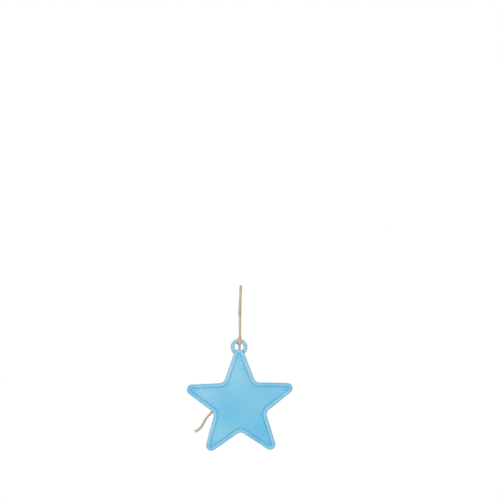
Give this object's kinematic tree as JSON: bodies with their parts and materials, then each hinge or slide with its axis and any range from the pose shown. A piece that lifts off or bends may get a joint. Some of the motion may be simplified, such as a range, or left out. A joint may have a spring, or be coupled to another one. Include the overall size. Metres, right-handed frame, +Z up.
{
  "type": "balloon weight",
  "caption": "Star-shaped balloon weight: a ballast-filled moulded star with a ring at its top point, hung on a length of jute twine with a folded eye.",
  "frame": {"origin": "where a ribbon bears in the folded eye at the top of the twine", "axes": "+Z up along the taut twine, -Y the way the star's face looks, +X to the right of that face as seen from the front"},
  "size_m": [0.0868, 0.0127, 0.1358],
  "materials": {
    "star_plastic": "satin",
    "ballast": "cast",
    "twine": "matte"
  },
  "bodies": {
    "eye": {"twine_eye": "twine"},
    "line": {"twine_line": "twine"},
    "hitch": {"ring_hitch": "twine", "twine_tail": "twine"},
    "star": {"body_shell": "star_plastic", "face_panel": "star_plastic", "ballast_core": "ballast"}
  },
  "joints": [
    {"name": "twine_spin", "type": "hinge", "parent": "eye", "child": "line", "pos_m": [0, 0, -0.024], "axis": [0, 0, 1], "range_deg": [-180, 180]},
    {"name": "star_swing", "type": "hinge", "parent": "line", "child": "hitch", "pos_m": [0, 0, -0.03341], "axis": [1, 0, 0], "range_deg": [-75, 75]},
    {"name": "star_sway", "type": "hinge", "parent": "hitch", "child": "star", "pos_m": [-0.00112, -0.0027, -0.04871], "axis": [0, 1, 0], "range_deg": [-60, 60]}
  ]
}
